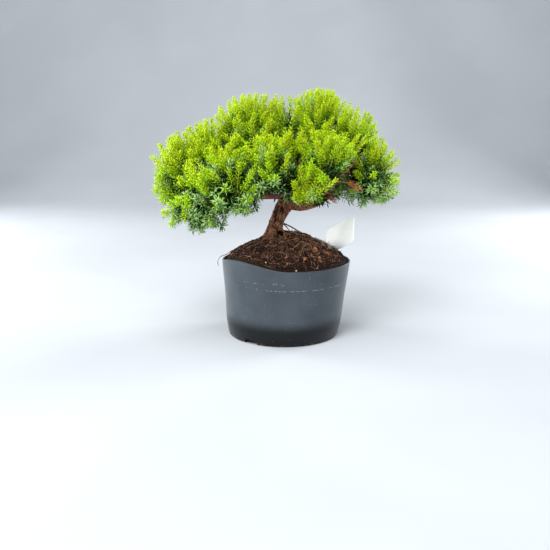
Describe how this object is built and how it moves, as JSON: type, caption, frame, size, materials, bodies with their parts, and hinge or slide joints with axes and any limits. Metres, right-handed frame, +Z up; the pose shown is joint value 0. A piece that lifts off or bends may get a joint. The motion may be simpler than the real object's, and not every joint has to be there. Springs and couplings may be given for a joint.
{
  "type": "juniper bonsai",
  "caption": "Small potted juniper with a leaning trunk, low spreading boughs and a broad domed crown of short needles, in a cut-down round plastic pot.",
  "frame": {"origin": "middle of the pot's flat underside", "axes": "+Z up, -Y towards the front of the picture's view, +X to the viewer's right"},
  "size_m": [0.3102, 0.2152, 0.3045],
  "materials": {
    "pot": "satin",
    "soil": "rough",
    "label": "satin",
    "bark": "rough",
    "foliage": "matt"
  },
  "bodies": {
    "root": {"pot": "pot", "soil": "soil", "plant_label": "label", "trunk": "bark", "bough_leader": "bark", "bough_left": "bark", "bough_right": "bark", "bough_left_low": "bark", "bough_left_shoulder": "bark", "bough_top_left": "bark", "bough_top_middle": "bark", "bough_right_shoulder": "bark", "bough_front_left": "bark", "bough_front_middle": "bark", "bough_front_right": "bark", "bough_back_left": "bark", "bough_back_right": "bark", "bough_front_low": "bark", "foliage_left_end": "foliage", "foliage_left_low": "foliage", "foliage_left_shoulder": "foliage", "foliage_top_left": "foliage", "foliage_top_middle": "foliage", "foliage_top_right": "foliage", "foliage_right_shoulder": "foliage", "foliage_right_end": "foliage", "foliage_front_left": "foliage", "foliage_front_middle": "foliage", "foliage_front_right": "foliage", "foliage_back_left": "foliage", "foliage_back_right": "foliage", "foliage_front_low": "foliage"}
  },
  "joints": []
}
